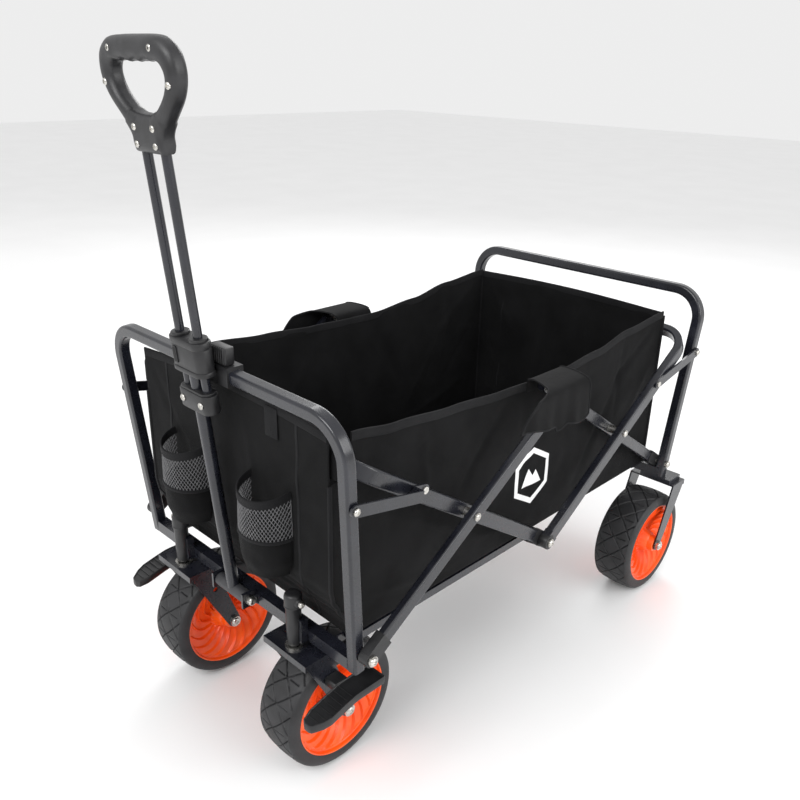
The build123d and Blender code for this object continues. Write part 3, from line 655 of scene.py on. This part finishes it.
# ------------------------------------------------------------------ rivets and bolts on the folding frame
def make_rivets():
    lean_x, lean_y = 15 / 360, 31 / 360
    for side, name in ((1, "left"), (-1, "right")):
        out = (side, 0, 0)
        leg_y = 399 + lean_y * (480 - 227)
        heads(f"front_bolt_heads_{name}", NICKEL, "front_frame",
              [(P(side * 273, -396.44, 255.8), out, 6.2, 3.2), (P(side * 268, -leg_y, 480), out, 4.6, 2.0)])
        heads(f"rear_bolt_heads_{name}", NICKEL, "rear_frame",
              [(P(side * 256.4, 396.44, 255.8), out, 5.6, 2.8), (P(side * 268, leg_y, 480), out, 4.6, 2.0)])
        heads(f"front_bar_heads_{name}", NICKEL, "front_bars",
              [(P(side * 270, -198.2, 385.3), out, 5.0, 2.0), (P(side * 270, 0, 514.7), out, 6.0, 2.2)])
        heads(f"rear_hoop_heads_{name}", NICKEL, "rear_hoop", [(P(side * 264, 198.2, 385.3), out, 5.0, 2.0)])
        heads(f"hinge_heads_{name}", NICKEL, "front_hoop", [(P(side * 265.3, 0, 255.8), out, 6.0, 2.8)])
    for side, name in ((1, "left"), (-1, "right")):
        barrel = lathe([(3.0, -9.0), (12.2, -9.0), (13.2, -8.0), (13.2, 5.6), (12.4, 6.6), (3.0, 6.6)],
                       P(side * 240, 0, 255.8), (side, 0, 0), 40)
        cap = lathe([(3.0, 7.4), (11.6, 7.4), (12.0, 8.2), (12.0, 22.2), (11.0, 23.2), (3.0, 23.2)],
                    P(side * 240, 0, 255.8), (side, 0, 0), 40)
        points, faces = barrel
        piece(f"knuckle_barrel_{name}", points, faces, PLASTIC, "front_hoop", sharp=45)
        points, faces = cap
        piece(f"knuckle_cap_{name}", points, faces, PLASTIC, "rear_hoop", sharp=45)
    heads("handle_pivot_heads", NICKEL, "front_frame",
          [(P(45, -420, 239.5), (1, 0, 0), 6.4, 3.4), (P(-44, -420, 239.5), (-1, 0, 0), 6.0, 2.6)])


# ------------------------------------------------------------------ bag
BAG_X, BAG_Y, BAG_LOW = 210.5, 380.5, 252.0
TOP_EDGE = [(-380.5, 548), (-300, 538), (-194, 529.5), (-84, 522), (0, 519), (60, 518), (166,
        527), (263, 543), (380.5, 552)]


def top_edge(y):
    for (y0, z0), (y1, z1) in zip(TOP_EDGE, TOP_EDGE[1:]):
        if y <= y1:
            t = (y - y0) / (y1 - y0)
            return z0 + (z1 - z0) * smooth_step(t)
    return TOP_EDGE[-1][1]


def crease(y, z, y0, z0, y1, z1, width):
    """Height of a soft fold that runs from one point to another and fades at its ends."""
    length = math.hypot(y1 - y0, z1 - z0)
    t = ((y - y0) * (y1 - y0) + (z - z0) * (z1 - z0)) / length ** 2
    off = ((y - y0) * (z1 - z0) - (z - z0) * (y1 - y0)) / length
    if not 0 < t < 1:
        return 0.0
    return math.exp(-(off / width) ** 2) * math.sin(math.pi * t)


SIDE_CREASES = [(-370, 540, -120, 400, 9), (-370, 500, -200, 330, 8), (-60, 515, -190, 350, 10),
        (40, 515, 150, 340, 11),
                (370, 545, 200, 420, 9), (370, 470, 230, 300, 8), (-30, 510, 10, 300, 12), (-360,
                        300, -140, 262, 7),
                (120, 262, 360, 330, 8), (-250, 520, -230, 380, 7), (260, 530, 250, 360, 8),
                        (-150, 300, 60, 262, 8),
                (300, 520, 120, 262, 9), (-330, 420, -90, 280, 7)]
END_CREASES = [(-200, 545, -90, 400, 9), (200, 545, 90, 400, 9), (-190, 300, -40, 262, 7), (190,
        300, 40, 262, 7),
               (-30, 540, -60, 330, 9), (40, 545, 70, 320, 9), (-200, 420, -120, 280, 8), (200,
                       430, 130, 280, 8)]


def cloth_relief(u, v, creases, seed):
    total = 0.0
    for number, (u0, v0, u1, v1, width) in enumerate(creases):
        sign = 1 if number % 2 else -1
        total += sign * 2.6 * crease(u, v, u0, v0, u1, v1, width)
    total += 2.2 * noise.noise(Vector((u / 75, v / 75, seed))) + 0.9 * noise.noise(Vector((u / 26,
            v / 26, seed + 5)))
    return total


FRONT_PROFILE = [(250, 380.5), (264, 382.5), (284, 389.5), (303, 401.5), (321, 410.5), (340,
        413.5), (600, 413.5)]
NOTCH_LOW, NOTCH_HIGH = 488.0, 498.0


def front_y(z):
    """How far forward the front panel stands at this height."""
    for (z0, y0), (z1, y1) in zip(FRONT_PROFILE, FRONT_PROFILE[1:]):
        if z <= z1:
            return y0 + (y1 - y0) * smooth_step(0.5 + (z - z0) / (z1 - z0) - 0.5)
    return FRONT_PROFILE[-1][1]


def side_front(z):
    """Front edge of a side wall: along the front panel, and behind the hoop's crossbar above the notch."""
    back = smooth_step((z - NOTCH_LOW) / (NOTCH_HIGH - NOTCH_LOW))
    return -front_y(z) * (1 - back) - (BAG_Y - 0.5) * back


def wall_x(side, y, z):
    """Where the side wall's cloth lies at this place, with its creases and its slack."""
    t = (z - BAG_LOW) / (top_edge(y) - BAG_LOW)
    pinned = max(0, min(1, (BAG_Y - abs(y)) / 30)) * min(1, t / 0.08) * max(0, min(1, (1 - t) / 0.05 + 0.35))
    belly = 3.0 * math.sin(math.pi * t) * math.cos(math.pi * y / (2 * BAG_Y)) if abs(y) < BAG_Y else 0.0
    return min(BAG_X + pinned * (cloth_relief(y, z, SIDE_CREASES, 3.0 + side) - 1.5) - belly, 214)


def make_side(side):
    name = "left" if side > 0 else "right"
    rows, columns = 220, 90
    points = []
    for i in range(rows):
        for j in range(columns):
            share = i / (rows - 1)
            guess = -BAG_Y + 2 * BAG_Y * share
            z = BAG_LOW + (top_edge(guess) - BAG_LOW) * j / (columns - 1)
            y = side_front(z) + (BAG_Y - side_front(z)) * share
            points.append(P(side * wall_x(side, y, z), y, z))
    wall = piece(f"bag_wall_{name}", points, grid_faces(rows, columns), CLOTH, None, sharp=None)
    thicken(wall, 0.9)
    hem_line = [P(side * (BAG_X - 0.3), y, top_edge(y) - 4.5) for y in np.linspace(-BAG_Y + 2,
            BAG_Y - 2, 120)]
    points, faces = sweep(hem_line, rounded_outline(3.4, 13, 1.6, 3))
    hem = piece(f"bag_hem_{name}", points, faces, BINDING)
    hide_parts(f"bag_side_{name}")
    return wall, hem


def thicken(item, millimetres):
    modifier = item.modifiers.new("cloth", "SOLIDIFY")
    modifier.thickness = millimetres / 1000
    modifier.offset = 0


def end_top(end, x):
    swell = math.cos(math.pi * x / (2 * BAG_X))
    return 556 + 10 * swell if end < 0 else 549 + 6 * swell


def end_y(end, x, z):
    """Where an end panel's cloth lies at this place."""
    t = (z - BAG_LOW) / (end_top(end, x) - BAG_LOW)
    pinned = min(1, (BAG_X - abs(x)) / 25) * min(1, t / 0.08) * max(0, min(1, (1 - t) / 0.05 + 0.35))
    relief = 0.8 * pinned * (cloth_relief(x, z, END_CREASES, 11.0 + end) - 0.5)
    if end > 0:
        return min(BAG_Y + relief - 1.6 * pinned, 382.5)
    base = front_y(z)
    return -(base + max(-2.0, min(3.0 if z > 325 else 0.4, relief)))


def make_end(end):
    rows, columns = 130, 110
    points = []
    for i in range(rows):
        x = -BAG_X + 2 * BAG_X * i / (rows - 1)
        for j in range(columns):
            z = BAG_LOW + (end_top(end, x) - BAG_LOW) * j / (columns - 1)
            points.append(P(x, end_y(end, x, z), z))
    name = "front" if end < 0 else "rear"
    wall = piece(f"bag_end_{name}", points, grid_faces(rows, columns), CLOTH, None, sharp=None)
    thicken(wall, 0.9)
    parts = []
    line = [P(x, end_y(end, x, end_top(end, x)), end_top(end,
            x) - 4.5) for x in np.linspace(-BAG_X + 2, BAG_X - 2, 60)]
    parts.append(sweep(line, rounded_outline(3.4, 13, 1.6, 3)))
    for seam in (-150, 150):
        line = [P(seam, end_y(end, seam, z) + end * 0.4, z) for z in np.linspace(BAG_LOW + 4,
                end_top(end, seam) - 8, 70)]
        parts.append(sweep(line, rounded_outline(5, 1.6, 0.7, 2), ups=[(0, end, 0)] * 70))
    points, faces = merge(parts)
    hem = piece(f"bag_end_hem_{name}", points, faces, BINDING)
    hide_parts(f"bag_{name}_panel")
    return wall, hem


def make_corner_tapes():
    items = []
    for end, label in ((-1, "front"), (1, "rear")):
        parts = []
        for side in (-1, 1):
            top = NOTCH_LOW if end < 0 else 545
            line = [P(side * (BAG_X + 0.4), end * (front_y(z) if end < 0 else BAG_Y), z)
                    for z in np.linspace(BAG_LOW, top, 50)]
            parts.append(sweep(line, rounded_outline(5.5, 5.5, 2.2, 3), ups=[(1, 0, 0)] * 50))
        points, faces = merge(parts)
        items.append(piece(f"bag_corner_tape_{label}", points, faces, BINDING))
    return items


def make_hoop_sleeve():
    """Cloth channel sewn round the front hoop's crossbar."""
    outline = rounded_outline(24, 48, 9, 6)
    rings, count = [], 90
    for k in range(count):
        x = -226 + 452 * k / (count - 1)
        pinch = 1 - 0.12 * smooth_step((abs(x) - 196) / 30)
        for number, (u, v) in enumerate(outline):
            slack = 1.6 * noise.noise(Vector((x / 24, number * 0.5, 7.0)))
            reach = pinch + slack / 26
            rings.append(P(x, -396.4 + u * min(reach, 1.0), 514.7 + v * reach))
    sleeve = piece("hoop_sleeve", rings, grid_faces(count, len(outline), wrap_columns=True),
            CLOTH, "front_hoop",
                   sharp=None)
    thicken(sleeve, 0.8)


def make_floor():
    rows, columns = 90, 50
    points = []
    for i in range(rows):
        y = -BAG_Y + 2 * BAG_Y * i / (rows - 1)
        for j in range(columns):
            x = -BAG_X + 2 * BAG_X * j / (columns - 1)
            edge = min(BAG_X - abs(x), BAG_Y - abs(y))
            z = 251.2 + 0.5 * noise.noise(Vector((x / 60, y / 60, 2.0))) + 1.4 * max(0.0, 1 - edge / 9)
            points.append(P(x, y, z))
    floor = piece("bag_bottom", points, grid_faces(rows, columns), CLOTH, None, sharp=None)
    thicken(floor, 0.8)
    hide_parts("bag_floor")
    mats = []
    for number in range(4):
        y0 = -370 + 186 * number + 1.5
        y1 = y0 + 179
        nx, ny = 56, 28
        top = []
        for i in range(nx):
            u = -1 + 2 * i / (nx - 1)
            for j in range(ny):
                v = -1 + 2 * j / (ny - 1)
                edge = min(1.0, (1 - abs(u)) * 200 / 9, (1 - abs(v)) * 90 / 9)
                crown = 3.4 * math.sqrt(max(0.0, edge * (2 - edge)))
                stitch = 1.2 * math.exp(-((1 - abs(v)) * 90 - 15) ** 2 / 6) + 1.2 * math.exp(
                    -((1 - abs(u)) * 200 - 15) ** 2 / 6)
                swell = 0.5 * noise.noise(Vector((u * 5, v * 3, number * 2.3)))
                top.append((u * 199, (y0 + y1) / 2 + v * (y1 - y0) / 2,
                        255.6 + crown - stitch * edge + swell * edge))
        bottom = [(x, y, 254.0) for x, y, z in top]
        faces = grid_faces(nx, ny) + [tuple(reversed(f)) for f in grid_faces(nx, ny, start=nx * ny)]
        rim = [j for j in range(ny)] + [i * ny + ny - 1 for i in range(1, nx)]
        rim += [(nx - 1) * ny + j for j in range(ny - 2, -1, -1)] + [i * ny for i in range(nx - 2, 0, -1)]
        for a, b in zip(rim, rim[1:] + rim[:1]):
            faces.append((b, a, a + nx * ny, b + nx * ny))
        mat = piece(f"floor_mat_{number + 1}", [P(*p) for p in top + bottom], faces, CLOTH, None, sharp=60)
        mats.append(mat)
    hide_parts("floor_mat")
    return floor, mats


FLAP_SPREAD = [(0.0, -28, 58), (0.3, -32, 48), (0.5, -48, 42), (0.68, -80, 46), (1.0, -121, 51)]


def flap_range(s):
    for (s0, a0, b0), (s1, a1, b1) in zip(FLAP_SPREAD, FLAP_SPREAD[1:]):
        if s <= s1:
            t = (s - s0) / (s1 - s0)
            return a0 + (a1 - a0) * t, b0 + (b1 - b0) * t
    return FLAP_SPREAD[-1][1:]


def make_flap(side):
    """Flap sewn inside the bag's top edge, over the joint and down its outer side, scalloped at the back."""
    name = "left" if side > 0 else "right"
    path = [(212.6, 506), (213.2, 520), (216, 528.5), (228, 532), (248, 532.5), (264, 531), (272,
            527), (275, 518),
            (275.5, 500), (276, 482), (276.5, 466)]
    path = spline_points(path, 4)
    rows = 70
    points = []
    for i in range(rows):
        v = i / (rows - 1)
        for k, (x, z) in enumerate(path):
            s = k / (len(path) - 1)
            front, back = flap_range(s)
            y = front + (back - front) * v
            drop = smooth_step((s - 0.55) / 0.45)
            scallop = 6 * abs(math.sin(3.0 * math.pi * v)) if v > 0.5 else 0.0
            zz = z + drop * (18 * (1 - v) ** 2 + 3 - scallop) + 1.0 * wave(y, (1, 0.055, 0.4),
                    (0.6, 0.13, 1.0)) * drop
            xx = x + drop * (1.4 * math.sin(y * 0.075 + 0.6) + 0.8 * math.sin(y * 0.19)) - 0.6 * drop
            points.append(P(side * xx, y, zz))
    flap = piece(f"joint_flap_{name}", points, grid_faces(rows, len(path)), CLOTH, "side_flaps", sharp=None)
    thicken(flap, 1.0)
    parts = []
    for row in (0, rows - 1):
        line = points[row * len(path) + 8:(row + 1) * len(path)]
        parts.append(sweep(line, rounded_outline(3.2, 2.4, 1.0, 2), ups=[(0, 1, 0)] * len(line)))
    line = [points[i * len(path) + len(path) - 1] for i in range(rows)]
    parts.append(sweep(line, rounded_outline(2.4, 3.2, 1.0, 2)))
    edge_points, edge_faces = merge(parts)
    edge = piece(f"flap_binding_{name}", edge_points, edge_faces, BINDING, "side_flaps")
    return flap, edge


# ------------------------------------------------------------------ bottle pockets
POCKET_X, POCKET_R = 94.0, 42.5
POCKET_LOW, POCKET_MESH, POCKET_TOP = 326.0, 384.0, 441.0
PANEL_FACE = 415.0


def pocket_point(side, share, z, grow=0.0):
    """Point on the pocket's bulging wall; share runs 0 to 1 from one side seam to the other."""
    turn = math.pi * share
    squeeze = 1 - 0.14 * smooth_step((350 - z) / 26) + 0.02 * math.sin(z / 19)
    r = (POCKET_R + grow) * squeeze
    lift = 13 * (1 - math.sin(turn)) * max(0.0, (z - POCKET_MESH) / (POCKET_TOP - POCKET_MESH))
    return P(side * POCKET_X - r * math.cos(turn),
            -PANEL_FACE - (r * 0.99) * math.sin(turn) ** 0.85, z + lift)


def make_pocket(side):
    name = "left" if side > 0 else "right"
    rows, columns = 60, 30
    points = []
    for i in range(rows):
        share = i / (rows - 1)
        for j in range(columns):
            z = POCKET_LOW + (POCKET_MESH + 3 - POCKET_LOW) * j / (columns - 1)
            ripple = 0.9 * noise.noise(Vector((share * 9, z / 18, side * 3.0)))
            points.append(pocket_point(side, share, z, ripple - 0.5))
    base = len(points)
    for i in range(rows):
        share = i / (rows - 1)
        for k in range(5):
            t = k / 4
            edge = pocket_point(side, share, POCKET_LOW, -0.5)
            centre = P(side * POCKET_X, -PANEL_FACE, POCKET_LOW)
            points.append(edge.lerp(centre, t) - Vector((0, 0, 0.002 * math.sin(math.pi * t))))
    faces = grid_faces(rows, columns) + grid_faces(rows, 5, start=base)
    cup = piece(f"pocket_cup_{name}", points, faces, CLOTH, "front_frame", sharp=50)
    thicken(cup, 0.9)
    # Netting: two families of crossing threads that form small diamonds.
    across, high_count = 26, 14
    knots, strips = [], []
    for row in range(high_count + 1):
        z = POCKET_MESH + (POCKET_TOP - 8 - POCKET_MESH) * row / high_count
        offset = 0.5 * (row % 2)
        knots.append([pocket_point(side, min(1, max(0, (c + offset) / across)), z,
                0.3) for c in range(across + 1)])
    for row in range(high_count):
        for c in range(across + 1):
            if row % 2 == 0:
                pairs = [(knots[row][c], knots[row + 1][c])]
                if c > 0:
                    pairs.append((knots[row][c], knots[row + 1][c - 1]))
            else:
                pairs = [(knots[row][c], knots[row + 1][c])]
                if c < across:
                    pairs.append((knots[row][c], knots[row + 1][c + 1]))
            for a, b in pairs:
                if (a - b).length > 1e-5:
                    strips.append(sweep([a, b], [(-0.45, -0.3), (0.45, -0.3), (0.45, 0.3), (-0.45, 0.3)]))
    points, faces = merge(strips)
    piece(f"pocket_net_{name}", points, faces, NETTING, "front_frame", smooth=False)
    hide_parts("bottle_pockets")
    for label, z, height in (("top", POCKET_TOP - 5, 12), ("middle", POCKET_MESH, 5)):
        line = [pocket_point(side, s, z, 0.9) for s in np.linspace(0, 1, 50)]
        points, faces = sweep(line, rounded_outline(2.6, height, 1.2, 3))
        piece(f"pocket_binding_{label}_{name}", points, faces, BINDING, "front_frame")


def make_patch():
    outline = rounded_outline(26, 42, 2)
    points, faces = prism(outline, 0, 1.4, lambda u, v, h: P(102 + u, -PANEL_FACE - h, 538 + v), 0.5)
    piece("loop_patch", points, faces, BINDING, "front_frame")


# ------------------------------------------------------------------ printed mark
def ring_corners(radius, count=6):
    return [(radius * math.sin(2 * math.pi * k / count),
            radius * math.cos(2 * math.pi * k / count)) for k in range(count)]


def filled(corners, fine=8):
    """Strips between two closed outlines of the same corner count, divided finely along their sides."""
    outer, inner = corners
    points = []
    for outline in (outer, inner):
        for (u0, v0), (u1, v1) in zip(outline, outline[1:] + outline[:1]):
            points += [(u0 + (u1 - u0) * k / fine, v0 + (v1 - v0) * k / fine) for k in range(fine)]
    return points, grid_faces(2, len(outer) * fine, wrap_columns=True)


def make_mark():
    """Plain six-sided ring with a two-peaked hill inside, printed on the left wall."""
    centre_y, centre_z = 14.0, 350.0
    parts = []
    hill = [(-24, -16), (-8, 14), (1, 0), (8, 9), (24, -16)]
    inner = [(u * 0.02, v * 0.02 - 8) for u, v in hill]
    for flat in (filled((ring_corners(50), ring_corners(40))), filled((hill, inner))):
        points = []
        for u, v in flat[0]:
            y, z = centre_y + u, centre_z + v
            points.append(P(wall_x(1, y, z) + 1.1, y, z))
        parts.append((points, flat[1]))
    points, faces = merge(parts)
    return piece("printed_mark", points, faces, WHITE, None, smooth=False)


# ------------------------------------------------------------------ the rest
def dress_cad():
    """Gives every carried-over CAD node its procedural material and soft shading."""
    node_slots = {row["node"]: row["material_slot"] for row in frame["record"]["subparts"]}
    for node, item in frame["nodes"].items():
        item.data.materials.clear()
        item.data.materials.append(CAD_MATERIALS[node_slots[node]])
        item.data.shade_smooth()
        item.data.set_sharp_from_angle(angle=math.radians(30))


def make_bag():
    soft = []
    for side in (1, -1):
        wall, hem = make_side(side)
        soft += [wall, hem]
    for item in soft + [make_mark()]:
        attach(item, "front_frame")
        squash_with_fold(item)
    for end, body in ((-1, "front_frame"), (1, "rear_frame")):
        wall, hem = make_end(end)
        for item in (wall, hem):
            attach(item, body)
    for tape, body in zip(make_corner_tapes(), ("front_frame", "rear_frame")):
        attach(tape, body)
    floor, mats = make_floor()
    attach(floor, "front_frame")
    squash_with_fold(floor)
    for mat in mats:
        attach(mat, "front_frame")
        squash_with_fold(mat)
    for side in (1, -1):
        flap, edge = make_flap(side)
        if side > 0:
            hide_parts("bag_flaps")


def squash_with_fold(item):
    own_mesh(item)


def make_stage():
    size = 12.0
    plane = piece("floor_plane", [Vector((-size, -size, 0)), Vector((size, -size, 0)),
            Vector((size, size, 0)),
                                  Vector((-size, size, 0))], [(0, 1, 2, 3)],
                  mottled("studio_floor", (0.90, 0.90, 0.90), (0.92, 0.92, 0.92), 0.8, 3, 60,
                          0.02), None, smooth=False)
    world = bpy.data.worlds.new("studio")
    bpy.context.scene.world = world
    world.use_nodes = True
    world.node_tree.nodes["Background"].inputs["Color"].default_value = (1, 1, 1, 1)
    world.node_tree.nodes["Background"].inputs["Strength"].default_value = 0.85


def light(name, place, target, size, power):
    data = bpy.data.lights.new(name, "AREA")
    data.shape = "RECTANGLE"
    data.size, data.size_y = size
    data.energy = power
    item = bpy.data.objects.new(name, data)
    bpy.context.scene.collection.objects.link(item)
    direction = Vector(target) - Vector(place)
    item.matrix_world = Matrix.Translation(place) @ direction.to_track_quat("-Z", "Y").to_matrix().to_4x4()


make_camera()
make_wheels()
make_grip()
make_collars()
make_latch()
make_casters()
make_rivets()
make_bag()
make_hoop_sleeve()
make_pocket(1)
make_pocket(-1)
make_patch()
dress_cad()
make_stage()
light("key", (0.4, -2.6, 2.6), (0, 0, 0.4), (2.2, 1.4), 60)
light("side", (2.8, 0.5, 1.6), (0, 0, 0.4), (2.0, 1.6), 40)
light("back", (-1.6, 2.2, 2.4), (0, 0, 0.4), (2.0, 1.2), 40)
